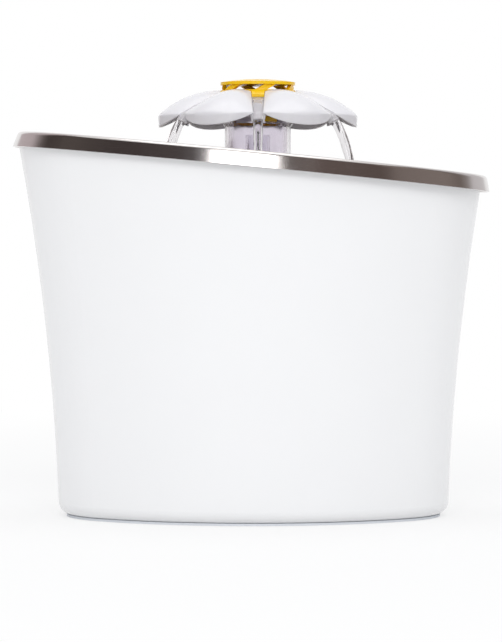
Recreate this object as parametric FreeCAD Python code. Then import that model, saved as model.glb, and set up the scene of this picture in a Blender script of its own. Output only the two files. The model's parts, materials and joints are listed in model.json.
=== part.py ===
import FreeCAD, Part
import math
import os

from FreeCAD import Matrix, Placement, Rotation, Vector

# Pet water fountain, in millimetres. The front is -Y, the high end of the rim is -X.
# The origin is on the surface that it stands on, under the middle of the oval base.

# Oval bucket
base_half_width = 102.3
base_half_depth = 74.0
end_radius = 57.0           # plan arc round each end
side_top = 120.9            # half width of the side at the height of the rim's middle
side_bow = 3.2              # how far the flared side curves in from a straight one
shell_wall = 2.5
floor_thickness = 2.6
foot_round = 6.0
pad_thickness = 1.2
pad_inset = 4.0

# Slanted rim, in its own tilted frame: 0 is the lower edge of the steel skirt
rim_tilt = 5.45             # degrees, high at -X
rim_x = -1.2
rim_height = 182.0
rim_half_width = 125.7
skirt_height = 8.1
skirt_flare = 16.0          # degrees off square to the rim
skirt_round = 2.5
steel = 0.8
lip_inset = 6.4             # bucket's lip, inside the skirt's lower edge
lip_wall = 2.2
lip_depth = 9.0
shoulder_height = 1.0       # bucket wall stops here, behind the skirt
basin_gap = 1.4             # basin wall to the lip
basin_depth = 14.0
basin_draft = 20.0
basin_round = 6.0

# Tower and riser, upright on one axis
axis_x = 2.3
boss_rise = 5.9             # level top of the tray's middle boss, above the basin
boss_radius = 26.0
boss_draft = 30.0
seal_thickness = 1.5
seal_inset = 1.0
tower_radius = 17.3
tower_wall = 1.8
tower_height = 25.8
tower_flange = 23.0
tower_plate = 2.0
tower_fillet = 1.5
bead_swell = 1.1
bead_height = 5.0
bead_slope = 1.5
spigot_radius = 12.8
spigot_wall = 2.3
spigot_length = 13.0
nut_height = 6.0
nut_across = 36.0
washer_wider = 1.5
washer_thickness = 1.5
riser_radius = 6.4
riser_wall = 1.4
riser_below_top = 9.3
sleeve_wall = 2.15
sleeve_length = 28.0

# Flower
petals = 6
petal_tip = 52.5
valley_radius = 44.0
petal_wall = 1.6
ridge_radius = 60.0         # long curve of a petal, seen from the side
ridge_centre_x = 14.6
ridge_centre_drop = 45.6    # that curve's centre, below the tower's top
crown_axis_drop = 44.3      # a petal's cross curve turns about this level
lip_drop = 5.4              # lowest point of a petal's hanging edge
lip_scallop = 56.0
lip_flare = 10.5            # degrees
gutter_start_width = 7.4
gutter_end_width = 5.3
gutter_start_drop = 0.9     # floor of a gutter at the hub, below the hub's top
gutter_end_rise = 0.3       # floor at the valley, above the tower's top
gutter_depth = 2.0
gutter_wall = 1.3
spout_reach = 2.3
spout_drop = 2.8
spout_lap = 1.5
hub_radius = 19.5
hub_wall = 1.8
hub_height = 12.1
hub_plate = 2.0
stem_radius = 15.2
stem_wall = 1.8
stem_length = 21.3
stem_plate = 2.0

# Yellow centre
cap_radius = 19.6
cap_lift = 6.2              # edge of the cap above the hub
cap_rise = 1.7
cap_thickness = 1.5
collar_wall = 1.5
collar_length = 9.4
ring_thickness = 1.9
leg_twist = 25.0            # degrees, top of a leg against its foot
leg_thickness = 2.1
leg_top_width = 6.0
leg_foot_width = 6.6
leg_inset = 0.3             # foot of a leg inside the cap's edge
leg_lean = 1.0              # top of a leg further in than its foot
foot_reach = 3.6
foot_thickness = 1.4
clips = 3
clip_turn = 25.0            # degrees from the front towards +X
clip_width = 7.3
clip_thickness = 1.5
clip_root = 2.0
clip_drop = 2.6             # end of a clip, below the tower's top

# Pump, lying along X under the tower
pump_left = -9.0
pump_length = 49.0
pump_width = 38.0
pump_height = 42.2
pump_edge = 5.0
pump_top_round = 2.0
cup_height = 6.0
cup_radius = 6.0
cup_lip = 1.2
cup_neck = 2.6
cup_spread_x = 32.0
cup_spread_y = 22.0
impeller_height = 18.2      # axis above the housing's underside
chamber_radius = 13.0
chamber_depth = 17.0
rotor_bore = 6.4
rotor_length = 22.5
wheel_radius = 11.6
wheel_width = 8.0
wheel_disc = 1.5
blades = 6
blade_thickness = 1.4
hub_of_wheel = 3.2
shaft_radius = 1.0
bush_radius = 2.5
bush_length = 3.0
bush_boss = 1.5
cap_plate = 2.5
cap_eye = 7.5
spokes = 3
spoke_width = 1.8
outlet_bore = 4.4
outlet_radius = 6.1
outlet_length = 13.7
cover_wall = 1.5
cover_length = 16.0
cover_overlap = 2.0
slot_width = 2.4
slot_pitch = 5.2
slots = 6
slot_margin = 4.0
dial_radius = 12.0
dial_thickness = 1.7
dial_pin = 1.9
dial_head = 1.2
dial_holes = 3
dial_hole_radius = 3.2
dial_hole_circle = 7.2
lever_length = 5.0
lever_width = 4.0
fence_height = 3.0
fence_wall = 1.6

# Filter, square to the tilted tray
holder_length = 52.0
holder_width = 64.0
holder_height = 16.0
holder_wall = 1.6
holder_ledge = 4.0
holder_round = 8.0
frame_wall = 1.4
frame_height = 13.4
bar_width = 2.0
bar_pitch = 8.6
carbon_thickness = 6.0
foam_thickness = 5.0
stud_radius = 2.0
stud_head = 3.0
stud_edge = 0.5
stud_crown = 1.4
drain_radius = 3.0
drain_pitch = 11.5
drain_columns = 4
drain_rows = 5

# Power inlet low at the right-hand end, turned to the back
inlet_turn = 18.0           # degrees round the right-hand end
inlet_height = 29.4
inlet_radius = 4.0
inlet_bore = 2.2
inlet_flange = 6.0
inlet_flange_thickness = 2.0
inlet_flange_round = 1.0
inlet_length = 9.0
inlet_nut_thickness = 3.0
inlet_nut_wider = 0.8

# Cord entry on the pump
gland_radius = 5.0
gland_taper = 1.5
gland_length = 5.0
gland_root = 2.0
gland_height = 14.0

# Clearances
fit = 0.05                  # turned or pressed fits
slide = 0.3                 # parts that lift or slide apart
soft_gap = 0.3              # foam and felt to their neighbours
past = 1.0                  # a cut runs this far past the face it opens
reach = 300.0               # longer than anything that is cut

up = Vector(0, 0, 1)
along = Vector(1, 0, 0)
floor_top = pad_thickness + floor_thickness
pump_bottom = floor_top + cup_height
pump_top = pump_bottom + pump_height
pump_right = pump_left + pump_length
chamber_end = pump_left + chamber_depth
rotor_end = chamber_end + rotor_length
shaft_height = pump_bottom + impeller_height
sleeve_bottom = pump_top + slide
cover_left = pump_left + cover_overlap - cover_length
end_centre = base_half_width - end_radius
side_bulge = base_half_depth - end_radius
side_centre = (end_centre ** 2 - side_bulge ** 2) / (2 * side_bulge)
side_chord = math.hypot(side_top - base_half_width, rim_height)
side_radius = (side_chord ** 2 / 4 + side_bow ** 2) / (2 * side_bow)
side_lean = math.atan2(side_top - base_half_width, rim_height) - math.asin(side_chord / 2 / side_radius)
rim_growth = rim_half_width - base_half_width
rim_frame = Placement(Vector(rim_x, 0, rim_height), Rotation(Vector(0, 1, 0), rim_tilt))
basin_level = skirt_height - basin_depth
basin_inset = lip_inset + lip_wall + basin_gap + steel
basin_slope = math.tan(math.radians(basin_draft))
basin_floor_inset = basin_inset + basin_depth * basin_slope
nut_side = axis_x - rim_x + nut_across / 2 + washer_wider
filter_x = (nut_side + rim_half_width - basin_floor_inset) / 2
boss_top = rim_height + basin_level + boss_rise
flange_seat = boss_top + seal_thickness
tower_top = flange_seat + tower_height
hub_top = tower_top + hub_height
lip_bottom = tower_top - lip_drop
ridge_centre_z = tower_top - ridge_centre_drop
crown_axis_z = tower_top - crown_axis_drop
gutter_slope = (tower_top + gutter_end_rise - hub_top + gutter_start_drop) / (valley_radius - hub_radius)
gutter_narrowing = (gutter_end_width - gutter_start_width) / (valley_radius - hub_radius)
cap_edge = hub_top + cap_lift
cap_top = cap_edge + cap_rise
collar_radius = hub_radius - hub_wall - slide
collar_bottom = hub_top - collar_length
clip_bottom = tower_top - clip_drop


def polar(radius, degrees, height=0.0):
    turn = math.radians(degrees)
    return Vector(radius * math.cos(turn), radius * math.sin(turn), height)


def turned_about_z(shape, degrees):
    return shape.copy().rotate(Vector(0, 0, 0), up, degrees)


def ring_of(shape, count, first=0.0):
    return [turned_about_z(shape, first + 360.0 * i / count) for i in range(count)]


def moved(shape, x=0.0, y=0.0, z=0.0):
    return shape.copy().translate(Vector(x, y, z))


def tilted(shape):
    # from the rim's frame to the fountain's
    return shape.transformed(rim_frame.toMatrix(), True)


def joined(shapes):
    return shapes[0].multiFuse(shapes[1:]).removeSplitter()


# A line through (across, up) points, with an arc at each point that has a third value
def line_of(points, closed=True):
    count = len(points)
    edges = []
    ends = []
    for i, point in enumerate(points):
        here = Vector(point[0], 0, point[1])
        radius = point[2] if len(point) > 2 else 0
        if not radius:
            ends.append((here, None, here))
            continue
        before = Vector(points[i - 1][0], 0, points[i - 1][1])
        after = Vector(points[(i + 1) % count][0], 0, points[(i + 1) % count][1])
        to_before = (before - here).normalize()
        to_after = (after - here).normalize()
        half = to_before.getAngle(to_after) / 2
        cut = radius / math.tan(half)
        middle = (to_before + to_after).normalize() * (radius / math.sin(half) - radius)
        ends.append((here + to_before * cut, here + middle, here + to_after * cut))
    for i, (start, middle, stop) in enumerate(ends):
        if middle:
            edges.append(Part.Arc(start, middle, stop).toShape())
        following = ends[(i + 1) % count][0]
        if (closed or i < count - 1) and not stop.isEqual(following, 1e-6):
            edges.append(Part.makeLine(stop, following))
    return Part.Wire(edges)


def turned(points):
    return Part.Face(line_of(points)).revolve(Vector(0, 0, 0), up, 360)


def tube(outer, inner, low, high):
    return turned([(inner, low), (outer, low), (outer, high), (inner, high)])


def rod(radius, low, high):
    return Part.makeCylinder(radius, high - low, Vector(0, 0, low))


def rod_x(radius, left, right, height, y=0.0):
    return Part.makeCylinder(radius, right - left, Vector(left, y, height), along)


# Form swept round the oval plan of four tangent arcs; section(edge) is its upright half section,
# and edge is the distance from the arc's centre to the base oval
def oval(section):
    sweep = math.degrees(math.atan2(side_centre, end_centre))
    side_edge = side_centre + base_half_depth
    arcs = [
        (Vector(end_centre, 0, 0), -sweep, 2 * sweep, end_radius),
        (Vector(0, -side_centre, 0), sweep, 180 - 2 * sweep, side_edge),
        (Vector(-end_centre, 0, 0), 180 - sweep, 2 * sweep, end_radius),
        (Vector(0, side_centre, 0), 180 + sweep, 180 - 2 * sweep, side_edge),
    ]
    parts = []
    for centre, start, turn, edge in arcs:
        part = section(edge).revolve(Vector(0, 0, 0), up, turn)
        parts.append(turned_about_z(part, start).translate(centre))
    return joined(parts)


# Solid of the rim's oval, in the rim's frame
def rim_block(inset, low, high):
    def section(edge):
        out = edge + rim_growth - inset
        return Part.Face(line_of([(0, low), (out, low), (out, high), (0, high)]))
    return tilted(oval(section))


def above_rim(level):
    return tilted(Part.makeBox(2 * reach, 2 * reach, reach, Vector(-reach, -reach, level)))


def block(x0, x1, y0, y1, z0, z1, edge=0.0):
    shape = Part.makeBox(x1 - x0, y1 - y0, z1 - z0, Vector(x0, y0, z0))
    if not edge:
        return shape
    upright = [e for e in shape.Edges if abs(e.tangentAt(e.FirstParameter).z) > 0.9]
    return shape.makeFillet(edge, upright)


# How far the bucket's outer face stands outside the base oval at a height
def bucket_growth(height):
    centre_z = -side_radius * math.sin(side_lean)
    return side_radius * math.cos(side_lean) - math.sqrt(side_radius ** 2 - (height - centre_z) ** 2)


def bucket(inset, low, high, corner=0.0):
    def section(edge):
        def at(height):
            return Vector(edge + bucket_growth(height) - inset, 0, height)
        start = at(low) - along * corner
        side_start = at(low + corner)
        edges = [Part.makeLine(Vector(0, 0, low), start)]
        if corner:
            half = corner * math.sqrt(0.5)
            corner_middle = Vector(start.x + half, 0, low + corner - half)
            edges.append(Part.Arc(start, corner_middle, side_start).toShape())
        edges += [
            Part.Arc(side_start, at((low + high) / 2), at(high)).toShape(),
            Part.makeLine(at(high), Vector(0, 0, high)),
            Part.makeLine(Vector(0, 0, high), Vector(0, 0, low)),
        ]
        return Part.Face(Part.Wire(edges))
    return oval(section)


# Frame of the power inlet: its own Z runs out through the wall
def inlet_placed(shape):
    radius = end_radius + bucket_growth(inlet_height)
    spot = polar(radius, inlet_turn, inlet_height) + along * end_centre
    place = Placement(spot, Rotation(up, polar(1, inlet_turn)))
    return shape.transformed(place.toMatrix(), True)


def reservoir_shell():
    inside_top = rim_height + 2 * lip_depth
    wall = bucket(0, pad_thickness, inside_top, foot_round).cut(above_rim(shoulder_height))
    lip = rim_block(lip_inset, -lip_depth, skirt_height - steel)
    inside = bucket(shell_wall, floor_top, inside_top).cut(above_rim(-lip_depth))
    throat = rim_block(lip_inset + lip_wall, -lip_depth - shell_wall, skirt_height)
    shell = wall.fuse(lip).cut(inside.fuse(throat)).fuse(pump_fence())
    hole = inlet_placed(rod(inlet_radius + fit, -inlet_length, inlet_length))
    return shell.cut(hole).removeSplitter()


# Low wall on the floor that keeps the pump in place
def pump_fence():
    middle = pump_left + pump_length / 2
    half_x = cup_spread_x / 2 + cup_radius + slide
    half_y = cup_spread_y / 2 + cup_radius + slide

    def ring(wider, edge, low, high):
        return block(middle - half_x - wider, middle + half_x + wider, -half_y - wider, half_y + wider,
                     low, high, edge)
    top = floor_top + fence_height
    outer = ring(fence_wall, pump_edge, floor_top - floor_thickness / 2, top)
    return outer.cut(ring(0, pump_edge - fence_wall, floor_top, top + past))


def base_pad():
    def section(edge):
        out = edge - pad_inset
        return Part.Face(line_of([(0, 0), (out, 0), (out, pad_thickness), (0, pad_thickness)]))
    return oval(section)


# Both seat on the curved wall, so the wall trims their inner faces
def inlet_gland(shell):
    body = turned([(inlet_bore, -inlet_length), (inlet_radius, -inlet_length), (inlet_radius, -past),
                   (inlet_flange, -past), (inlet_flange, inlet_flange_thickness, inlet_flange_round),
                   (inlet_bore, inlet_flange_thickness)])
    return largest(inlet_placed(body).cut(shell))


def hexagon(radius, height, low):
    face = Part.Face(Part.makePolygon([polar(radius, 60 * i, low) for i in range(7)]))
    return face.extrude(up * height)


def inlet_nut(shell):
    nut = hexagon(inlet_flange + inlet_nut_wider, inlet_nut_thickness + past, -shell_wall - inlet_nut_thickness)
    nut = nut.cut(rod(inlet_radius + fit, -inlet_length, inlet_length))
    return largest(inlet_placed(nut).cut(shell))


def largest(shape):
    return max(shape.Solids, key=lambda solid: solid.Volume)


# Sheet steel tray: skirt, flat rim, drafted basin, level boss in the middle, drain holes
def steel_tray():
    flare = math.tan(math.radians(skirt_flare))

    def section(edge):
        rim = edge + rim_growth
        skin = [(0, basin_level), (rim - basin_floor_inset, basin_level, basin_round),
                (rim - basin_inset, skirt_height, skirt_round),
                (rim - skirt_height * flare, skirt_height, skirt_round), (rim, 0)]
        return line_of(skin, closed=False).makeOffset2D(-steel, 0, True, True).Faces[0]
    foot = boss_top - basin_depth - steel
    skin_across = steel / math.cos(math.radians(boss_draft))
    boss = boss_cone(0, foot, boss_top)
    boss_skin = boss.cut(boss_cone(skin_across, foot, boss_top - steel)).common(above_rim(basin_level - steel))
    tray = tilted(oval(section)).cut(boss).fuse(boss_skin)
    tray = tray.cut(on_axis(rod(spigot_radius + slide, foot, boss_top + past)))
    holes = [tray_hole(drain_radius, x, y) for x, y in drain_places()]
    holes += [tray_hole(stud_radius + slide, x, y) for x, y in stud_places()]
    return tray.cut(Part.makeCompound(holes)).removeSplitter()


def boss_cone(inset, low, high):
    spread = math.tan(math.radians(boss_draft))
    top = boss_radius - inset + (boss_top - high) * spread
    return on_axis(Part.makeCone(top + (high - low) * spread, top, high - low, Vector(0, 0, low)))


def tray_hole(radius, x, y):
    return tilted(moved(rod(radius, basin_level - steel - past, basin_level + past), x, y))


def on_axis(shape):
    return moved(shape, x=axis_x)


def drain_places():
    for column in range(drain_columns):
        for row in range(drain_rows):
            yield (filter_x + drain_pitch * (column - (drain_columns - 1) / 2),
                   drain_pitch * (row - (drain_rows - 1) / 2))


def stud_places():
    half_x = holder_length / 2 - holder_wall - stud_radius
    half_y = holder_width / 2 - holder_round
    return [(filter_x + sx * half_x, sy * half_y) for sx in (-1, 1) for sy in (-1, 1)]


# Clear tower: foot flange, upright tube with a bead on top, spigot through the tray
def tower_tube():
    bore = riser_radius + fit
    inner = tower_radius - tower_wall
    plate_top = flange_seat + tower_plate
    bead = tower_radius + bead_swell
    bead_foot = tower_top - bead_height
    body = turned([(bore, flange_seat), (spigot_radius - spigot_wall, flange_seat),
                   (spigot_radius - spigot_wall, flange_seat - spigot_length),
                   (spigot_radius, flange_seat - spigot_length), (spigot_radius, flange_seat),
                   (tower_flange, flange_seat), (tower_flange, plate_top),
                   (tower_radius, plate_top, tower_fillet), (tower_radius, bead_foot),
                   (bead, bead_foot + bead_slope), (bead, tower_top),
                   (inner, tower_top), (inner, plate_top), (bore, plate_top)])
    return on_axis(body)


def tower_seal():
    return on_axis(tube(tower_flange - seal_inset, spigot_radius + slide, boss_top, flange_seat))


def tower_nut():
    under = boss_top - steel
    nut = hexagon(nut_across / 2, nut_height, under - nut_height)
    washer = rod(nut_across / 2 + washer_wider, under - washer_thickness, under)
    return on_axis(joined([nut, washer]).cut(rod(spigot_radius + fit, under - nut_height, under)))


def riser_tube():
    return on_axis(tube(riser_radius, riser_radius - riser_wall, sleeve_bottom + sleeve_length / 2,
                        tower_top - riser_below_top))


def riser_sleeve():
    bore = riser_radius + fit
    outer = bore + sleeve_wall
    return on_axis(tube(outer, bore, sleeve_bottom, sleeve_bottom + sleeve_length))


# One petal's solid, tip along +X: plan outline, crowned top and scalloped lower edge
def petal_prism(inset, half_angle):
    def plan(level):
        flared = inset + (level - lip_bottom) * math.tan(math.radians(lip_flare))
        tip = petal_tip - flared
        valley = valley_radius - flared
        side = polar(valley, half_angle, level)
        other = polar(valley, -half_angle, level)
        arc = Part.Arc(side, Vector(tip, 0, level), other).toShape()
        middle = Vector(0, 0, level)
        return Part.Wire([Part.makeLine(middle, side), arc, Part.makeLine(other, middle)])
    return Part.makeLoft([plan(lip_bottom - hub_height / 2), plan(hub_top + hub_height / 2)], True, True)


def petal_crown(thinner):
    radius = ridge_radius - thinner

    def ridge(x):
        return Vector(x, 0, ridge_centre_z + math.sqrt(radius ** 2 - (x - ridge_centre_x) ** 2))
    inner_x = -hub_radius / 5
    outer_x = petal_tip + 2 * petal_wall
    start = Vector(inner_x, 0, crown_axis_z)
    stop = Vector(outer_x, 0, crown_axis_z)
    edges = [
        Part.makeLine(start, ridge(inner_x)),
        Part.Arc(ridge(inner_x), ridge((inner_x + outer_x) / 2), ridge(outer_x)).toShape(),
        Part.makeLine(ridge(outer_x), stop),
        Part.makeLine(stop, start),
    ]
    return Part.Face(Part.Wire(edges)).revolve(Vector(0, 0, crown_axis_z), along, 360)


def petal_solid():
    scallop = rod_x(lip_scallop, -past, petal_tip + past, lip_bottom + lip_scallop)
    return petal_prism(0, 180.0 / petals).common(petal_crown(0)).common(scallop)


# Wider than the petal, so that the ring of them leaves no wall between two petals
def petal_hollow():
    return petal_prism(petal_wall, 180.0 / petals + 1).common(petal_crown(petal_wall))


def gutter_floor(radius):
    return hub_top - gutter_start_drop + gutter_slope * (radius - hub_radius)


# Trough along +X that carries water out between two petals
def gutter(wall, height, start, stop):
    def section(radius):
        low = gutter_floor(radius) - wall
        high = gutter_floor(radius) + height
        half = (gutter_start_width + gutter_narrowing * (radius - hub_radius)) / 2 + wall
        points = [Vector(radius, y, z) for y, z in [(-half, low), (half, low), (half, high), (-half, high)]]
        return Part.makePolygon(points + points[:1])
    return Part.makeLoft([section(start), section(stop)], True, True)


# Plate across Y with its outline given as (radius, height) points
def plate_across(points, width):
    wire = Part.makePolygon([Vector(x, -width / 2, z) for x, z in points + points[:1]])
    return Part.Face(wire).extrude(Vector(0, width, 0))


def gutter_spout():
    inner = valley_radius - spout_lap
    outer = valley_radius + spout_reach
    floor = gutter_floor(valley_radius)
    return plate_across([(inner, gutter_floor(inner)), (valley_radius, floor), (outer, floor - spout_drop),
                         (outer - gutter_wall, floor - spout_drop), (inner, floor - gutter_wall)],
                        gutter_end_width)


# One block for each clip, or for the slot that it goes through
def clip_blocks(wider, inner, outer, low, high):
    half = clip_width / 2 + wider
    return ring_of(block(inner, outer, -half, half, low, high), clips, 270 + clip_turn)


# White flower: six crowned petals with a hanging edge, six gutters, cup in the middle
def flower_petals():
    dome = joined(ring_of(petal_solid(), petals)).cut(joined(ring_of(petal_hollow(), petals)))
    plate_top = tower_top + hub_plate
    bore = stem_radius - stem_wall
    cup = hub_radius - hub_wall
    hub = turned([(bore, tower_top), (hub_radius, tower_top), (hub_radius, hub_top), (cup, hub_top),
                  (cup, plate_top), (bore, plate_top)])
    valley = 180.0 / petals
    trough = gutter(gutter_wall, gutter_depth, hub_radius - hub_wall / 2, valley_radius)
    flower = dome.multiFuse([hub] + ring_of(trough, petals, valley) + ring_of(gutter_spout(), petals, valley))
    channel = gutter(0, ridge_radius, cup - past, valley_radius + spout_reach)
    cutters = ring_of(channel, petals, valley)
    cutters.append(rod(cup, plate_top, cap_top))
    cutters.append(rod(cap_radius + slide, hub_top, cap_top))
    cutters += clip_blocks(slide, bore - past, stem_radius + slide, tower_top - past, plate_top + past)
    for cutter in cutters:
        flower = flower.cut(cutter)
    return on_axis(flower.removeSplitter())


def flower_stem():
    bottom = tower_top - stem_length
    inner = stem_radius - stem_wall
    stem = turned([(riser_radius + slide, bottom), (stem_radius, bottom), (stem_radius, tower_top),
                   (inner, tower_top), (inner, bottom + stem_plate), (riser_radius + slide, bottom + stem_plate)])
    for slot in clip_blocks(slide, inner - past, stem_radius + past, clip_bottom - slide, tower_top + past):
        stem = stem.cut(slot)
    return on_axis(stem)


# Swirled leg from the ring up to the cap, one over each gutter
def centre_leg():
    def section(height, turn, radius, width):
        out = polar(1, turn)
        side = polar(1, turn + 90)
        middle = polar(radius, turn, height)
        inner = middle - out * leg_thickness
        points = [inner - side * (width / 2), middle - side * (width / 2), middle + side * (width / 2),
                  inner + side * (width / 2)]
        return Part.makePolygon(points + points[:1])
    low = hub_top + ring_thickness / 2
    high = cap_edge - cap_thickness / 2
    sections = []
    for share in (0, 0.5, 1):
        sections.append(section(low + share * (high - low), share * leg_twist,
                                cap_radius - leg_inset - share * leg_lean,
                                leg_foot_width + share * (leg_top_width - leg_foot_width)))
    return Part.makeLoft(sections, True, True)


# Foot of a leg, lying in the start of its gutter
def centre_foot():
    outer = cap_radius + foot_reach
    ring_top = hub_top + ring_thickness
    inner_floor = gutter_floor(collar_radius) + slide
    outer_floor = gutter_floor(outer) + slide
    return plate_across([(collar_radius, inner_floor), (outer, outer_floor),
                         (outer, outer_floor + foot_thickness), (cap_radius - leg_inset, ring_top),
                         (collar_radius, ring_top)], leg_foot_width)


# Slightly domed cap; the dome's centre is on the axis
def centre_cap():
    low = cap_edge - cap_thickness
    dome_radius = (cap_radius ** 2 + cap_rise ** 2) / (2 * cap_rise)
    half_turn = math.asin(cap_radius / dome_radius) / 2
    dome_middle = Vector(dome_radius * math.sin(half_turn), 0,
                         cap_top - dome_radius * (1 - math.cos(half_turn)))
    corner = Vector(cap_radius, 0, cap_edge)
    edges = [
        Part.makeLine(Vector(0, 0, low), Vector(cap_radius, 0, low)),
        Part.makeLine(Vector(cap_radius, 0, low), corner),
        Part.Arc(corner, dome_middle, Vector(0, 0, cap_top)).toShape(),
        Part.makeLine(Vector(0, 0, cap_top), Vector(0, 0, low)),
    ]
    return Part.Face(Part.Wire(edges)).revolve(Vector(0, 0, 0), up, 360)


# Yellow centre: cap on six swirled legs, ring and collar that push into the cup, clips
def flower_center():
    ring_top = hub_top + ring_thickness
    collar_inner = collar_radius - collar_wall
    collar = turned([(collar_inner, collar_bottom), (collar_radius, collar_bottom), (collar_radius, hub_top),
                     (cap_radius, hub_top), (cap_radius, ring_top), (collar_inner, ring_top)])
    valley = 180.0 / petals
    legs = ring_of(centre_leg(), petals, valley) + ring_of(centre_foot(), petals, valley)
    clip_outer = stem_radius - 2 * fit
    clip_inner = clip_outer - clip_thickness
    root_top = collar_bottom + clip_root
    roots = clip_blocks(0, clip_inner, collar_radius - collar_wall / 2, collar_bottom, root_top)
    bars = clip_blocks(0, clip_inner, stem_radius, clip_bottom, root_top)
    bars = [bar.common(rod(clip_outer, clip_bottom, root_top)) for bar in bars]
    return on_axis(joined([centre_cap(), collar] + legs + roots + bars))


# Pump housing: block with impeller chamber and rotor bore, outlet spout on top
def pump_housing():
    half = pump_width / 2
    body = block(pump_left, pump_right, -half, half, pump_bottom, pump_top, pump_edge)
    rim = [e for e in body.Edges if abs(e.BoundBox.ZMin - pump_top) < fit]
    body = body.makeFillet(pump_top_round, rim)
    outlet_top = pump_top + outlet_length
    cord_entry = pump_bottom + gland_height
    body = body.fuse(on_axis(rod(outlet_radius, pump_top - past, outlet_top)))
    cuts = [
        rod_x(chamber_radius, pump_left - past, chamber_end, shaft_height),
        rod_x(rotor_bore, chamber_end - past, rotor_end, shaft_height),
        rod_x(bush_radius + fit, rotor_end - past, rotor_end + bush_length, shaft_height),
        on_axis(rod(outlet_bore, shaft_height, outlet_top + past)),
        rod_x(grommet_radius(), pump_right - gland_root, pump_right + past, cord_entry),
    ]
    cuts += [moved(rod(cup_neck + fit, pump_bottom - past, pump_bottom + cup_neck), x, y)
             for x, y in cup_places()]
    for cut in cuts:
        body = body.cut(cut)
    return body.removeSplitter()


def grommet_radius():
    return gland_radius - gland_taper / 2


def pump_gland():
    low = pump_right - gland_root
    grommet = rod_x(grommet_radius() - fit, low, pump_right + past, 0)
    cone = Part.makeCone(gland_radius, gland_radius - gland_taper, gland_length, Vector(pump_right, 0, 0), along)
    body = grommet.fuse(cone).cut(rod_x(inlet_bore, low - past, pump_right + gland_length + past, 0))
    return moved(body, z=pump_bottom + gland_height)


def cup_places():
    middle = pump_left + pump_length / 2
    return [(middle + sx * cup_spread_x / 2, sy * cup_spread_y / 2) for sx in (-1, 1) for sy in (-1, 1)]


def suction_cups():
    stem_top = pump_bottom + cup_neck - 2 * slide
    cup = turned([(0, floor_top + cup_lip), (cup_radius - cup_lip, floor_top), (cup_radius, floor_top),
                  (cup_neck + cup_lip, floor_top + cup_height / 2), (cup_neck + cup_lip, pump_bottom),
                  (cup_neck, pump_bottom), (cup_neck, stem_top), (0, stem_top)])
    return Part.makeCompound([moved(cup, x, y) for x, y in cup_places()])


# The same shape a number of times round the pump's shaft
def round_shaft(shape, count):
    centre = Vector(0, 0, shaft_height)
    return [shape.copy().rotate(centre, along, 360.0 * i / count) for i in range(count)]


# Plate with an eye and three spokes that closes the impeller chamber
def chamber_cap():
    left = pump_left
    right = pump_left + cap_plate
    plate = rod_x(chamber_radius - fit, left, right, shaft_height)
    plate = plate.cut(rod_x(cap_eye, left - past, right + past, shaft_height))
    boss = rod_x(bush_radius + bush_boss, left, right, shaft_height)
    spoke = block(left, right, -spoke_width / 2, spoke_width / 2, shaft_height, shaft_height + cap_eye + past)
    plate = joined([plate, boss] + round_shaft(spoke, spokes))
    return plate.cut(rod_x(bush_radius + fit, left - past, right + past, shaft_height))


def shaft_bushes():
    bushes = []
    for left, length in ((pump_left, cap_plate), (rotor_end, bush_length)):
        bush = rod_x(bush_radius, left, left + length, shaft_height)
        bushes.append(bush.cut(rod_x(shaft_radius + fit / 2, left - past, left + length + past, shaft_height)))
    return Part.makeCompound(bushes)


def impeller_shaft():
    return rod_x(shaft_radius, pump_left, rotor_end + bush_length, shaft_height)


def wheel_span():
    left = axis_x - (wheel_width + wheel_disc) / 2
    return left, left + wheel_width + wheel_disc


def impeller_wheel():
    left, right = wheel_span()
    disc = rod_x(wheel_radius, right - wheel_disc, right, shaft_height)
    hub = rod_x(hub_of_wheel, left, right, shaft_height)
    blade = block(left, right, -blade_thickness / 2, blade_thickness / 2, shaft_height,
                  shaft_height + wheel_radius - slide)
    wheel = joined([disc, hub] + round_shaft(blade, blades))
    return wheel.cut(rod_x(shaft_radius + fit, left - past, right + past, shaft_height))


def rotor_magnet():
    left = wheel_span()[1]
    magnet = rod_x(rotor_bore - 2 * slide, left, rotor_end - past, shaft_height)
    return magnet.cut(rod_x(shaft_radius + fit, left - past, rotor_end, shaft_height))


# Slotted box that slides over the intake end of the pump
def intake_cover():
    half = pump_width / 2 + slide + cover_wall
    low = pump_bottom - slide - cover_wall
    high = pump_top + slide + cover_wall
    right = pump_left + cover_overlap
    box = block(cover_left, right + pump_edge, -half, half, low, high, pump_edge)
    inside = block(cover_left + cover_wall, right + 2 * pump_edge, -half + cover_wall, half - cover_wall,
                   low + cover_wall, high - cover_wall, pump_edge - cover_wall)
    open_end = block(right, right + 2 * pump_edge, -2 * half, 2 * half, 0, 2 * high)
    box = box.cut(inside).cut(open_end)
    for side in range(slots):
        y = slot_pitch * (side - (slots - 1) / 2)
        box = box.cut(block(cover_left + slot_margin, pump_left - past, y - slot_width / 2, y + slot_width / 2,
                            low - past, high + past))
    for hole in dial_hole_rods(cover_left - past, cover_left + cover_wall + past):
        box = box.cut(hole)
    pin_end = cover_left - dial_thickness - 2 * fit
    pin = rod_x(dial_pin, pin_end, cover_left, shaft_height)
    head = rod_x(dial_pin + dial_head, pin_end - dial_head, pin_end, shaft_height)
    return joined([box, pin, head])


def dial_hole_rods(left, right):
    return round_shaft(rod_x(dial_hole_radius, left, right, shaft_height + dial_hole_circle), dial_holes)


def flow_dial():
    left = cover_left - dial_thickness
    right = cover_left - fit
    disc = rod_x(dial_radius, left, right, shaft_height)
    lever = block(left, right, -lever_width / 2, lever_width / 2, shaft_height + dial_radius - lever_width,
                  shaft_height + dial_radius + lever_length)
    disc = disc.fuse(lever).cut(rod_x(dial_pin + fit, left - past, right + past, shaft_height))
    for hole in dial_hole_rods(left - past, right + past):
        disc = disc.cut(hole)
    return disc.removeSplitter()


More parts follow.
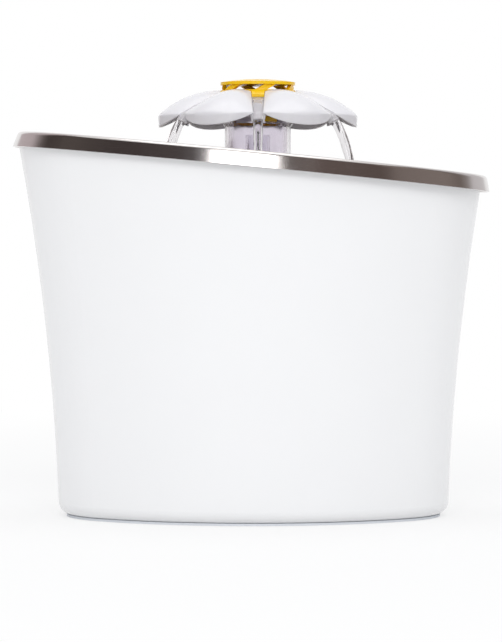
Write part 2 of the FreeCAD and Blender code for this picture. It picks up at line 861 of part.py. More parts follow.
def intake_sponge():
    half = pump_width / 2 - soft_gap
    return block(cover_left + cover_wall + soft_gap, pump_left - soft_gap, -half, half,
                 pump_bottom + soft_gap, pump_top - soft_gap, pump_edge - cover_wall)


def filter_block(length, width, low, high, edge=0.0):
    return block(filter_x - length / 2, filter_x + length / 2, -width / 2, width / 2, low, high, edge)


def filter_holder():
    top = basin_level - steel
    low = top - holder_height
    outer = filter_block(holder_length, holder_width, low, top, holder_round)
    inner = filter_block(holder_length - 2 * holder_wall, holder_width - 2 * holder_wall, low - past,
                         top - holder_wall, holder_round - holder_wall)
    shrink = 2 * (holder_wall + holder_ledge)
    window = filter_block(holder_length - shrink, holder_width - shrink, low, top + past, holder_round / 2)
    holder = outer.cut(inner).cut(window)
    root = top - holder_wall / 2
    stud = turned([(0, root), (stud_radius, root), (stud_radius, basin_level), (stud_head, basin_level),
                   (stud_head, basin_level + stud_edge), (stud_radius, basin_level + stud_crown),
                   (0, basin_level + stud_crown)])
    return tilted(holder.multiFuse([moved(stud, x, y) for x, y in stud_places()]))


def frame_span():
    top = basin_level - steel - holder_wall - slide
    return top - frame_height, top


def frame_plan():
    shrink = 2 * (holder_wall + slide)
    return holder_length - shrink, holder_width - shrink, holder_round - holder_wall - slide


def filter_frame():
    low, top = frame_span()
    length, width, edge = frame_plan()
    outer = filter_block(length, width, low, top, edge)
    inner = filter_block(length - 2 * frame_wall, width - 2 * frame_wall, low + frame_wall, top + past,
                         edge - frame_wall)
    frame = outer.cut(inner)
    count = int((width - 2 * frame_wall) // bar_pitch)
    window = filter_block(length - 6 * frame_wall, bar_pitch - bar_width, low - past, low + frame_wall + past)
    for i in range(count):
        frame = frame.cut(moved(window, y=bar_pitch * (i - (count - 1) / 2)))
    return tilted(frame)


def filter_layer(low, thickness):
    length, width, edge = frame_plan()
    inset = 2 * (frame_wall + soft_gap)
    return tilted(filter_block(length - inset, width - inset, low, low + thickness,
                               edge - frame_wall - soft_gap))


def carbon_pad():
    return filter_layer(frame_span()[0] + frame_wall + soft_gap, carbon_thickness)


def foam_pad():
    low = frame_span()[0] + frame_wall + 2 * soft_gap + carbon_thickness
    return filter_layer(low, foam_thickness)


def build():
    shell = reservoir_shell()
    return {
        "reservoir_shell": shell,
        "base_pad": base_pad(),
        "inlet_gland": inlet_gland(shell),
        "inlet_nut": inlet_nut(shell),
        "pump_housing": pump_housing(),
        "pump_gland": pump_gland(),
        "suction_cups": suction_cups(),
        "chamber_cap": chamber_cap(),
        "shaft_bushes": shaft_bushes(),
        "impeller_shaft": impeller_shaft(),
        "impeller_wheel": impeller_wheel(),
        "rotor_magnet": rotor_magnet(),
        "intake_cover": intake_cover(),
        "intake_sponge": intake_sponge(),
        "flow_dial": flow_dial(),
        "steel_tray": steel_tray(),
        "tower_seal": tower_seal(),
        "tower_tube": tower_tube(),
        "tower_nut": tower_nut(),
        "riser_tube": riser_tube(),
        "riser_sleeve": riser_sleeve(),
        "filter_holder": filter_holder(),
        "filter_frame": filter_frame(),
        "carbon_pad": carbon_pad(),
        "foam_pad": foam_pad(),
        "flower_petals": flower_petals(),
        "flower_stem": flower_stem(),
        "flower_center": flower_center(),
    }


os.makedirs("parts", exist_ok=True)
for name, shape in build().items():
    shape.exportStep("parts/" + name + ".step")
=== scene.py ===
import json
import math

import bmesh
import bpy
from mathutils import Matrix, Vector


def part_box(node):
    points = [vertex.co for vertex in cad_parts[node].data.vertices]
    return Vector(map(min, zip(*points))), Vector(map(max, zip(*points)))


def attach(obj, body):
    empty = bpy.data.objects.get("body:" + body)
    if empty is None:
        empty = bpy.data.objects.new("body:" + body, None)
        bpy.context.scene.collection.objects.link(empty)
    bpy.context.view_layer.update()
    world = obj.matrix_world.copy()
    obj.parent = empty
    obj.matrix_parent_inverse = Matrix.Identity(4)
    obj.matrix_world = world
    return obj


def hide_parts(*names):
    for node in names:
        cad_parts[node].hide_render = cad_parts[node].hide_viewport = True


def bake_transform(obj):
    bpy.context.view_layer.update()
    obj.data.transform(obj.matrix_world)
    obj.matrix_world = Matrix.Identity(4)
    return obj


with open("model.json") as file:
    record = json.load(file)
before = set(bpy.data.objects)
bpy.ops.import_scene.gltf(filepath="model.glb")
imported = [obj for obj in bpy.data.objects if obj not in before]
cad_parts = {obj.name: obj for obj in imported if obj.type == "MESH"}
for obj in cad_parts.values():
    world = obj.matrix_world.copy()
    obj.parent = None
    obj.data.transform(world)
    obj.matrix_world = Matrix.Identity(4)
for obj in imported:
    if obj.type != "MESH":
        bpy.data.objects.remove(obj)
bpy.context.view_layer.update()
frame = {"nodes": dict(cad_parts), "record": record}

nodes = frame["nodes"]
mm = 0.001
mergeGap = 0.01 * mm


def rgba(colour):
    return (colour[0], colour[1], colour[2], 1.0)


def between(first, last, share):
    return first + share * (last - first)


# shader helpers: a named socket of a group, a node with its settings and values, a group
def colourSocket(name, shade=None):
    return name, "NodeSocketColor", None if shade is None else rgba([shade] * 3)


def numberSocket(name, value=None):
    return name, "NodeSocketFloat", value


def addNode(tree, kind, settings=None, **values):
    node = tree.nodes.new(kind)
    for key, value in (settings or {}).items():
        setattr(node, key, value)
    for key, value in values.items():
        node.inputs[key.replace("_", " ")].default_value = value
    return node


def newGroup(name, inputs, outputs):
    tree = bpy.data.node_groups.new(name, "ShaderNodeTree")
    for wanted, inOut in ((inputs, "INPUT"), (outputs, "OUTPUT")):
        for socketName, kind, value in wanted:
            socket = tree.interface.new_socket(name=socketName, in_out=inOut, socket_type=kind)
            if value is not None:
                socket.default_value = value
    return tree, tree.nodes.new("NodeGroupInput"), tree.nodes.new("NodeGroupOutput")


effects = {
    "noiseRoughness": 0.55,
    "noiseRange": (0.3, 0.7),           # the part of a noise that most of its values lie in
    "poreRange": (0.05, 0.3),           # from a cell's edge to its open middle
    "lineStretch": (0.6, 30.0, 30.0),   # drawn lines run along X
    "smearStretch": (1.2, 0.4, 0.4),
    "peelDepth": 0.4 * mm,
    "lineDepth": 0.2 * mm,
    "poreDepth": 0.8 * mm,
}


# noise on Object coordinates, its scale read from a group input
def objectNoise(tree, scaleFrom, detail, stretch=None):
    coords = tree.nodes.new("ShaderNodeTexCoord")
    noise = addNode(tree, "ShaderNodeTexNoise", Detail=detail, Roughness=effects["noiseRoughness"])
    vector = coords.outputs["Object"]
    if stretch:
        mapping = addNode(tree, "ShaderNodeMapping", Scale=stretch)
        tree.links.new(vector, mapping.inputs["Vector"])
        vector = mapping.outputs["Vector"]
    tree.links.new(vector, noise.inputs["Vector"])
    tree.links.new(scaleFrom, noise.inputs["Scale"])
    return noise.outputs["Fac"]


# spreads a value from its usual range to low..high, each a group input
def rangeBetween(tree, value, usual, low=None, high=None):
    node = addNode(tree, "ShaderNodeMapRange", From_Min=usual[0], From_Max=usual[1])
    tree.links.new(value, node.inputs["Value"])
    if low:
        tree.links.new(low, node.inputs["To Min"])
        tree.links.new(high, node.inputs["To Max"])
    return node.outputs["Result"]


def mixColours(tree, factor, first, second):
    node = addNode(tree, "ShaderNodeMix", {"data_type": "RGBA"})
    tree.links.new(factor, node.inputs["Factor"])
    tree.links.new(first, node.inputs["A"])
    tree.links.new(second, node.inputs["B"])
    return node.outputs["Result"]


# moulded skin: cloudy colour, uneven gloss and a faint orange peel
def buildMouldedSkin():
    tree, take, give = newGroup(
        "mouldedSkin",
        [colourSocket("Colour", 0.8), colourSocket("Cloud Colour", 0.7), numberSocket("Cloud Scale", 25.0),
         numberSocket("Gloss Low", 0.2), numberSocket("Gloss High", 0.3), numberSocket("Peel Scale", 700.0)],
        [colourSocket("Colour"), numberSocket("Roughness"), numberSocket("Height")])
    wants = take.outputs
    clouds = objectNoise(tree, wants["Cloud Scale"], 3.0)
    peel = objectNoise(tree, wants["Peel Scale"], 2.0)
    colour = mixColours(tree, clouds, wants["Colour"], wants["Cloud Colour"])
    rough = rangeBetween(tree, clouds, effects["noiseRange"], wants["Gloss Low"], wants["Gloss High"])
    tree.links.new(colour, give.inputs["Colour"])
    tree.links.new(rough, give.inputs["Roughness"])
    tree.links.new(peel, give.inputs["Height"])
    return tree


# drawn steel: long fine lines along X, with wider smears
def buildDrawnSteel():
    tree, take, give = newGroup(
        "drawnSteel",
        [colourSocket("Colour", 0.6), colourSocket("Line Colour", 0.5), numberSocket("Line Scale", 60.0),
         numberSocket("Gloss Low", 0.1), numberSocket("Gloss High", 0.2)],
        [colourSocket("Colour"), numberSocket("Roughness"), numberSocket("Height")])
    wants = take.outputs
    lines = objectNoise(tree, wants["Line Scale"], 4.0, effects["lineStretch"])
    smears = objectNoise(tree, wants["Line Scale"], 2.0, effects["smearStretch"])
    colour = mixColours(tree, lines, wants["Colour"], wants["Line Colour"])
    rough = rangeBetween(tree, smears, effects["noiseRange"], wants["Gloss Low"], wants["Gloss High"])
    tree.links.new(colour, give.inputs["Colour"])
    tree.links.new(rough, give.inputs["Roughness"])
    tree.links.new(lines, give.inputs["Height"])
    return tree


# open cells: painted shade in the pores between pale threads; the same mask raises the threads as bump
def buildOpenCells():
    tree, take, give = newGroup(
        "openCells",
        [colourSocket("Thread", 0.8), colourSocket("Pore Shade", 0.3), numberSocket("Cell Scale", 900.0)],
        [colourSocket("Colour"), numberSocket("Height")])
    wants = take.outputs
    coords = tree.nodes.new("ShaderNodeTexCoord")
    cell = addNode(tree, "ShaderNodeTexVoronoi", {"feature": "DISTANCE_TO_EDGE"})
    tree.links.new(coords.outputs["Object"], cell.inputs["Vector"])
    tree.links.new(wants["Cell Scale"], cell.inputs["Scale"])
    # the open middle of each cell takes the painted pore shade colour
    poreShade = rangeBetween(tree, cell.outputs["Distance"], effects["poreRange"])
    colour = mixColours(tree, poreShade, wants["Thread"], wants["Pore Shade"])
    thread = addNode(tree, "ShaderNodeMath", {"operation": "SUBTRACT"})
    thread.inputs[0].default_value = 1.0
    tree.links.new(poreShade, thread.inputs[1])
    tree.links.new(colour, give.inputs["Colour"])
    tree.links.new(thread.outputs["Value"], give.inputs["Height"])
    return tree


mouldedSkin = buildMouldedSkin()
drawnSteel = buildDrawnSteel()
openCells = buildOpenCells()


# one material: a shared group feeds colour, roughness and bump; plain values sit on the shader
def newMaterial(name, group, groupValues, bumpStrength, bumpDepth, shaderValues):
    material = bpy.data.materials.new(name)
    material.use_nodes = True
    tree = material.node_tree
    shader = tree.nodes["Principled BSDF"]
    effect = addNode(tree, "ShaderNodeGroup", {"node_tree": group})
    for key, value in groupValues.items():
        effect.inputs[key].default_value = value
    for output, socket in (("Colour", "Base Color"), ("Roughness", "Roughness")):
        if output in effect.outputs:
            tree.links.new(effect.outputs[output], shader.inputs[socket])
    relief = addNode(tree, "ShaderNodeBump", Strength=bumpStrength, Distance=bumpDepth)
    tree.links.new(effect.outputs["Height"], relief.inputs["Height"])
    tree.links.new(relief.outputs["Normal"], shader.inputs["Normal"])
    for key, value in shaderValues.items():
        shader.inputs[key].default_value = value
    return material


def moulded(name, colour, cloud, gloss, cloudScale=25.0, peelScale=700.0, peel=0.04, **shader):
    values = {"Colour": rgba(colour), "Cloud Colour": rgba(cloud), "Cloud Scale": cloudScale,
              "Gloss Low": gloss[0], "Gloss High": gloss[1], "Peel Scale": peelScale}
    plain = {key.replace("_", " "): value for key, value in shader.items()}
    return newMaterial(name, mouldedSkin, values, peel, effects["peelDepth"], plain)


def steel(name, colour, line, gloss, lineScale=60.0, relief=0.05):
    values = {"Colour": rgba(colour), "Line Colour": rgba(line), "Line Scale": lineScale,
              "Gloss Low": gloss[0], "Gloss High": gloss[1]}
    return newMaterial(name, drawnSteel, values, relief, effects["lineDepth"], {"Metallic": 1.0})


# poreShade is the colour of the painted shade in the open cells
def cells(name, thread, poreShade, cellScale, relief):
    values = {"Thread": rgba(thread), "Pore Shade": rgba(poreShade), "Cell Scale": cellScale}
    return newMaterial(name, openCells, values, relief, effects["poreDepth"],
                       {"Roughness": 0.95, "Sheen Weight": 0.15})


def clear(name, colour, cloud, gloss, ior, peel):
    return moulded(name, colour, cloud, gloss, 40.0, 160.0, peel, Transmission_Weight=1.0, IOR=ior)


# by slot: colour, colour of the clouds or lines, gloss from..to, then scales and relief
materials = {
    "white_shell": moulded("whiteBucket", (0.93, 0.93, 0.935), (0.915, 0.915, 0.92), (0.2, 0.26)),
    "white_flower": moulded("whitePetal", (0.8, 0.79, 0.815), (0.77, 0.76, 0.787), (0.16, 0.24), 60.0,
                            Subsurface_Weight=0.6, Subsurface_Radius=(0.004, 0.004, 0.0042)),
    "yellow_centre": moulded("yellowCentre", (0.95, 0.62, 0.004), (0.93, 0.55, 0.002), (0.2, 0.3), 80.0,
                             Subsurface_Weight=0.25, Subsurface_Radius=(0.004, 0.003, 0.0005)),
    "clear_plastic": clear("clearTube", (0.93, 0.92, 0.95), (0.88, 0.87, 0.91), (0.02, 0.06), 1.49, 0.1),
    "steel": steel("drawnTraySteel", (0.7, 0.67, 0.66), (0.58, 0.55, 0.54), (0.1, 0.17)),
    "pad_rubber": moulded("palePad", (0.8, 0.83, 0.87), (0.74, 0.77, 0.82), (0.5, 0.65),
                          60.0, 1500.0, 0.2),
    "dark_rubber": moulded("darkRubber", (0.035, 0.035, 0.035), (0.05, 0.05, 0.05), (0.5, 0.7),
                           90.0, 1500.0, 0.2),
    "clear_silicone": moulded("paleSilicone", (0.7, 0.7, 0.72), (0.62, 0.62, 0.65), (0.35, 0.5),
                              90.0, 1200.0, 0.1),
    "pump_plastic": moulded("pumpBlack", (0.03, 0.03, 0.033), (0.045, 0.045, 0.05), (0.38, 0.5),
                            60.0, 2500.0, 0.25),
    "white_plastic": moulded("whiteInner", (0.84, 0.84, 0.84), (0.79, 0.79, 0.8), (0.35, 0.45),
                             60.0, 2000.0, 0.12),
    "grey_plastic": moulded("greyInner", (0.28, 0.29, 0.3), (0.24, 0.25, 0.27), (0.4, 0.5),
                            60.0, 2000.0, 0.15),
    "impeller_plastic": moulded("paleImpeller", (0.72, 0.72, 0.68), (0.66, 0.66, 0.62), (0.3, 0.4),
                                90.0, 2000.0, 0.1),
    "magnet": moulded("groundMagnet", (0.07, 0.07, 0.075), (0.1, 0.1, 0.105), (0.3, 0.45),
                      200.0, 3000.0, 0.3, Metallic=0.6),
    "shaft_steel": steel("groundShaft", (0.7, 0.7, 0.7), (0.6, 0.6, 0.6), (0.12, 0.2), 300.0),
    # the second colour of each of these is painted shade inside the open cells
    "sponge": cells("blackSponge", (0.05, 0.05, 0.055), (0.012, 0.012, 0.012), 700.0, 0.9),
    "carbon": cells("carbonFelt", (0.06, 0.06, 0.062), (0.02, 0.02, 0.02), 1500.0, 0.6),
    "foam": cells("paleFoam", (0.78, 0.82, 0.88), (0.45, 0.5, 0.58), 1100.0, 0.8),
}
milky = clear("milkyTower", (0.93, 0.905, 0.93), (0.89, 0.865, 0.89), (0.1, 0.17), 1.3, 0.05)
# the grey tint of the water is painted shade, standing in for the darker surroundings seen through a clear
# stream
water = clear("runningWater", (0.84, 0.825, 0.835), (0.77, 0.755, 0.77), (0.0, 0.02), 1.33, 0.3)

for row in frame["record"]["subparts"]:
    finish = milky if row["node"] == "tower_tube" else materials[row["material_slot"]]
    slots = nodes[row["node"]].data.materials
    slots.clear()
    slots.append(finish)
print("materials on", len(nodes), "nodes")


def linkMesh(name, mesh, material):
    data = bpy.data.meshes.new(name)
    mesh.to_mesh(data)
    mesh.free()
    data.materials.append(material)
    thing = bpy.data.objects.new(name, data)
    bpy.context.scene.collection.objects.link(thing)
    return thing


# a piece with no body is left unattached
def finishPiece(name, mesh, material, body):
    piece = linkMesh(name, mesh, material)
    for polygon in piece.data.polygons:
        polygon.use_smooth = True
    if body:
        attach(piece, body)
    return piece


def closeMesh(mesh):
    bmesh.ops.remove_doubles(mesh, verts=mesh.verts, dist=mergeGap)
    bmesh.ops.recalc_face_normals(mesh, faces=mesh.faces)


# white flower: one sheet from the cup's floor over the petals to their hanging edge, with six gutters
petalLow, petalHigh = [Vector(corner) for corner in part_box("flower_petals")]
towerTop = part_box("tower_tube")[1][2]
flower = {
    "petals": 6,
    "axis": (petalLow[0] + petalHigh[0]) / 2,
    "bore": 14.8 * mm,
    "cup": 17.7 * mm,
    "plate": towerTop + 1.8 * mm,
    "hubTop": towerTop + 12.1 * mm,
    "root": 20.1 * mm,              # the crown starts here, just past the yellow ring
    "tip": 52.4 * mm,
    "outlineMiddle": 28.5 * mm,     # a petal's outline is an arc about this point
    "ridgeTop": 223.4 * mm,
    "ridgeCurve": 48.6 * mm,        # radius of the ridge, seen from the side
    "valleyTop": 222.3 * mm,
    "breakHeight": 211.1 * mm,      # where the crown turns down into the hanging edge
    "breakRound": 1.0 * mm,
    "lipLow": petalLow[2] + 0.1 * mm,
    "lipShallow": 1.2 * mm,         # hanging edge beside a gutter
    "lipLean": 0.4 * mm,
    "wall": 1.5 * mm,
    "gutterReach": (19.5 * mm, 44.0 * mm),
    "gutterHalf": (3.7 * mm, 2.65 * mm),
    "gutterFloor": (towerTop + 11.2 * mm, towerTop + 0.3 * mm),
    "gutterLean": 0.25 * mm,        # foot of a gutter's side, in from its top
    "spout": (2.3 * mm, 2.8 * mm),  # out and down, past the gutter's end
    "crownRows": 18,
    "lipRows": 5,
    "columns": 18,                  # over half a petal
    "gutterColumns": 2,             # foot and middle of half a gutter
    "angleRounds": 3,
    "softWidth": 0.22 * mm,
    "softSegments": 2,
    "softAngle": 38.0,
}
valleyTurn = math.pi / flower["petals"]
hubLine = [(flower["bore"], flower["plate"]), (flower["cup"], flower["plate"]),
           (flower["cup"], flower["hubTop"]), (flower["root"], flower["hubTop"])]
firstLipRow = len(hubLine) + flower["crownRows"]


def gutterAt(reach):
    start, stop = flower["gutterReach"]
    share = (reach - start) / (stop - start)
    return between(*flower["gutterFloor"], share), between(*flower["gutterHalf"], share)


def outlineAt(angle):
    middle = flower["outlineMiddle"]
    radius = flower["tip"] - middle
    return middle * math.cos(angle) + math.sqrt(radius ** 2 - (middle * math.sin(angle)) ** 2)


def crownShare(row):
    return (row - len(hubLine)) / (flower["crownRows"] - 1)


def lipShare(row):
    return (row - firstLipRow + 1) / flower["lipRows"]


# distance out and height of one row of a petal: cup, then crown, then hanging edge
def petalProfile(row, across, angle):
    f = flower
    if row < len(hubLine):
        return hubLine[row]
    fullness = 1 - across ** 2      # 1 on the ridge, 0 beside the gutter
    rim = outlineAt(angle) - f["breakRound"]
    if row < firstLipRow:
        share = crownShare(row)
        run = share * (f["tip"] - f["root"])
        ridge = f["ridgeTop"] - f["ridgeCurve"] + math.sqrt(f["ridgeCurve"] ** 2 - run ** 2)
        side = between(f["valleyTop"], f["breakHeight"], share)
        return between(f["root"], rim, share), between(side, ridge, fullness)
    share = lipShare(row)
    deepest = f["breakHeight"] - f["lipLow"]
    depth = between(f["lipShallow"], deepest, fullness)
    turn = min(1, share * depth / f["breakRound"]) * math.pi / 2
    reach = rim + f["breakRound"] * math.sin(turn) - f["lipLean"] * share * fullness
    return reach, f["breakHeight"] - share * depth


# the same rows down the floor of a gutter, the last ones in its spout
def gutterProfile(row):
    f = flower
    if row < len(hubLine):
        reach, height = hubLine[row]
        return reach, min(height, gutterAt(reach)[0])
    end = f["gutterReach"][1]
    if row < firstLipRow:
        reach = between(f["root"], end, crownShare(row))
        return reach, gutterAt(reach)[0]
    share = lipShare(row)
    return end + share * f["spout"][0], f["gutterFloor"][1] - share * f["spout"][1]


def petalPoint(row, column):
    intoGutter = column - flower["columns"]
    if intoGutter > 0:
        reach, height = gutterProfile(row)
        side = gutterAt(reach)[1] - flower["gutterLean"] if intoGutter == 1 else 0
        angle = valleyTurn - math.asin(side / reach)
    else:
        across = column / flower["columns"]
        angle = across * valleyTurn
        # a gutter takes more of the angle further in, so the angle settles in a few rounds
        for attempt in range(flower["angleRounds"]):
            reach, height = petalProfile(row, across, angle)
            angle = across * (valleyTurn - math.asin(gutterAt(reach)[1] / reach))
    return Vector((reach * math.cos(angle), reach * math.sin(angle), height))


def buildFlower():
    mesh = bmesh.new()
    columns = flower["columns"] + flower["gutterColumns"]
    # a fan of numbered rows and columns first, then each point goes to its place
    chain = [mesh.verts.new((row + 1, 0, 0)) for row in range(firstLipRow + flower["lipRows"])]
    edges = [mesh.edges.new(pair) for pair in zip(chain, chain[1:])]
    bmesh.ops.spin(mesh, geom=chain + edges, cent=(0, 0, 0), axis=(0, 0, 1), angle=valleyTurn,
                   steps=columns, use_merge=False)
    for vert in mesh.verts:
        row = round(vert.co.xy.length) - 1
        column = round(math.atan2(vert.co.y, vert.co.x) / valleyTurn * columns)
        vert.co = petalPoint(row, column)
    bmesh.ops.mirror(mesh, geom=mesh.verts[:] + mesh.edges[:] + mesh.faces[:],
                     matrix=Matrix.Identity(4), merge_dist=mergeGap, axis="Y")
    petal = mesh.verts[:] + mesh.edges[:] + mesh.faces[:]
    for turn in range(1, flower["petals"]):
        copied = bmesh.ops.duplicate(mesh, geom=petal)["geom"]
        bmesh.ops.rotate(mesh, verts=[v for v in copied if isinstance(v, bmesh.types.BMVert)],
                         cent=(0, 0, 0), matrix=Matrix.Rotation(2 * valleyTurn * turn, 3, "Z"))
    bmesh.ops.translate(mesh, verts=mesh.verts, vec=(flower["axis"], 0, 0))
    closeMesh(mesh)
    # the sheet is open, so its upper side is made the outer one before it gets its wall
    if sum(face.normal.z * face.calc_area() for face in mesh.faces) < 0:
        bmesh.ops.reverse_faces(mesh, faces=mesh.faces)
    piece = finishPiece("flower_petal_shell", mesh, materials["white_flower"], "flower")
    wall = piece.modifiers.new("wall", "SOLIDIFY")
    wall.thickness = flower["wall"]
    wall.offset = -1.0
    wall.use_even_offset = True
    soft = piece.modifiers.new("softEdge", "BEVEL")
    soft.width = flower["softWidth"]
    soft.segments = flower["softSegments"]
    soft.limit_method = "ANGLE"
    soft.angle_limit = math.radians(flower["softAngle"])
    soft.use_clamp_overlap = False
    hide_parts("flower_petals")


buildFlower()
print("flower made")

# water: a film down each gutter of the flower, then a falling stream to the tray
stream = {
    "axis": 2.3 * mm,               # middle of the flower
    "firstTurn": 30.0,              # degrees to the first gutter, at the back right
    "first": 24.6 * mm,             # the film starts here, past the yellow foot
    "edge": 43.4 * mm,              # leaves the flower here
    "filmStart": 218.6 * mm,
    "filmEdge": 210.1 * mm,
    "filmSteps": 5,
    "speeds": (0.225, 0.17, 0.2, 0.185, 0.175, 0.19),   # metres a second, from the back right round
    "gravity": 9.81,
    "fallTime": 0.0745,             # longer than any fall; each stops at the tray
    "fallSteps": 26,
    "filmHalf": (2.9 * mm, 0.4 * mm),
    "edgeHalf": (2.7 * mm, 1.2 * mm),
    "endHalf": (2.3 * mm, 2.1 * mm),
    "gather": 1.6,                  # how soon the fall is as round as at its end
    "ripple": 0.07,
    "rippleTurns": 17.0,            # radians down the fall
    "rippleShift": 5.0,
    "trayLevel": 176.2 * mm,        # basin floor under the middle
    "traySlope": 0.0954,
    "foot": 0.3 * mm,               # the fall ends this far over the tray
    "footSpread": 1.9,
    "spoutFall": 4.0 * mm,          # the water leaves the spout this far below the gutter's end
    "sides": 14,
}


# (distance out, height, half width, half thickness) from the gutter to the tray
def streamPath(angle, speed):
    s = stream
    rows = []
    for i in range(s["filmSteps"]):
        share = i / s["filmSteps"]
        width, depth = [between(a, b, share) for a, b in zip(s["filmHalf"], s["edgeHalf"])]
        rows.append((between(s["first"], s["edge"], share), between(s["filmStart"], s["filmEdge"], share),
                     width, depth))
    slope = (s["filmEdge"] - s["filmStart"]) / (s["edge"] - s["first"])
    for i in range(s["fallSteps"] + 1):
        share = i / s["fallSteps"]
        seconds = s["fallTime"] * share
        out = s["edge"] + speed * seconds
        height = s["filmEdge"] + slope * speed * seconds - s["gravity"] * seconds ** 2 / 2
        foot = s["trayLevel"] - s["traySlope"] * out * math.cos(angle) + s["foot"]
        roundness = min(1, share * s["gather"])
        width, depth = [between(a, b, roundness) for a, b in zip(s["edgeHalf"], s["endHalf"])]
        if height < foot:
            rows.append((out, foot, width * s["footSpread"], depth * s["footSpread"]))
            break
        wave = 1 + s["ripple"] * math.sin(share * s["rippleTurns"] + angle * s["rippleShift"]) * share
        rows.append((out, height, width * wave, depth * wave))
    return rows


def buildStream(index, speed):
    angle = math.radians(stream["firstTurn"]) + 2 * valleyTurn * index
    rows = streamPath(angle, speed)
    mesh = bmesh.new()
    ring = bmesh.ops.create_circle(mesh, cap_ends=True, segments=stream["sides"], radius=1.0)["verts"]
    placed = None
    for i, (out, height, halfWidth, halfDepth) in enumerate(rows):
        before = rows[max(0, i - 1)]
        after = rows[min(len(rows) - 1, i + 1)]
        lean = math.atan2(after[1] - before[1], after[0] - before[0])
        place = (Matrix.Translation((out, 0, height)) @ Matrix.Rotation(math.pi / 2 - lean, 4, "Y")
                 @ Matrix.Diagonal((halfDepth, halfWidth, 1, 1)))
        if placed is None:
            bmesh.ops.transform(mesh, matrix=place, verts=ring)
        else:
            edges = [e for e in mesh.edges
                     if e.verts[0] in ring and e.verts[1] in ring and len(e.link_faces) < 2]
            made = bmesh.ops.extrude_edge_only(mesh, edges=edges)["geom"]
            ring = [v for v in made if isinstance(v, bmesh.types.BMVert)]
            bmesh.ops.transform(mesh, matrix=place @ placed.inverted(), verts=ring)
        placed = place
    bmesh.ops.contextual_create(mesh, geom=[e for e in mesh.edges if len(e.link_faces) < 2])
    turn = Matrix.Translation((stream["axis"], 0, 0)) @ Matrix.Rotation(angle, 4, "Z")
    bmesh.ops.transform(mesh, matrix=turn, verts=mesh.verts)
    closeMesh(mesh)
    piece = finishPiece("water_stream_%d" % (index + 1), mesh, water, None)
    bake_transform(piece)


for index, speed in enumerate(stream["speeds"]):
    buildStream(index, speed)
print("water streams made")

# soft pads: rounded blocks with a slight crown, each in the place of its CAD solid
pads = {
    "foam_filter_pad": {"node": "foam_pad", "body": "filter", "slot": "foam", "thin": 2, "tilt": 5.45,
                        "corner": 5.0 * mm, "edge": 1.0 * mm, "crown": 0.35 * mm},
    "carbon_filter_pad": {"node": "carbon_pad", "body": "filter", "slot": "carbon", "thin": 2, "tilt": 5.45,
                          "corner": 5.0 * mm, "edge": 1.2 * mm, "crown": 0.25 * mm},
    "pump_sponge_block": {"node": "intake_sponge", "body": "pump_cover", "slot": "sponge", "thin": 0,
                          "tilt": 0.0, "corner": 0.0, "edge": 1.0 * mm, "crown": 0.25 * mm},
}
padMesh = {
    "cornerSteps": 5,
    "edgeSteps": 3,
    "sharp": 0.8,                   # radians; flatter edges aren't rims
    "longest": 9.0 * mm,            # longer edges are divided
    "cuts": 9,
}


def buildPad(name, pad):
    # the box of the CAD solid, turned back to level, gives the pad's own sides
    level = Matrix.Rotation(math.radians(-pad["tilt"]), 4, "Y")
    corners = [level @ v.co for v in nodes[pad["node"]].data.vertices]
    low = Vector([min(c[i] for c in corners) for i in range(3)])
    high = Vector([max(c[i] for c in corners) for i in range(3)])
    middle = (low + high) / 2
    size = high - low
    thin = pad["thin"]
    mesh = bmesh.new()
    bmesh.ops.create_cube(mesh, size=1.0)
    bmesh.ops.scale(mesh, vec=size, verts=mesh.verts)
    if pad["corner"]:
        upright = [e for e in mesh.edges if abs((e.verts[0].co - e.verts[1].co)[2]) > size[2] / 2]
        bmesh.ops.bevel(mesh, geom=upright, offset=pad["corner"], offset_type="OFFSET",
                        segments=padMesh["cornerSteps"], profile=0.5, affect="EDGES", material=-1)
    rims = [e for e in mesh.edges if len(e.link_faces) == 2 and e.calc_face_angle(0) > padMesh["sharp"]]
    bmesh.ops.bevel(mesh, geom=rims, offset=pad["edge"], offset_type="OFFSET",
                    segments=padMesh["edgeSteps"], profile=0.5, affect="EDGES", material=-1)
    wide = [e for e in mesh.edges if e.calc_length() > padMesh["longest"]]
    bmesh.ops.subdivide_edges(mesh, edges=wide, cuts=padMesh["cuts"], use_grid_fill=True)
    across = [i for i in range(3) if i != thin]
    for vert in mesh.verts:
        shares = [1 - (2 * vert.co[i] / size[i]) ** 2 for i in across]
        side = vert.co[thin] / (size[thin] / 2)
        vert.co[thin] -= side * pad["crown"] * (1 - max(0, shares[0]) * max(0, shares[1]))
    back = Matrix.Rotation(math.radians(pad["tilt"]), 4, "Y") @ Matrix.Translation(middle)
    bmesh.ops.transform(mesh, matrix=back, verts=mesh.verts)
    closeMesh(mesh)
    piece = finishPiece(name, mesh, materials[pad["slot"]], pad["body"])
    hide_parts(pad["node"])


for padName, pad in pads.items():
    buildPad(padName, pad)
print("soft pads made")

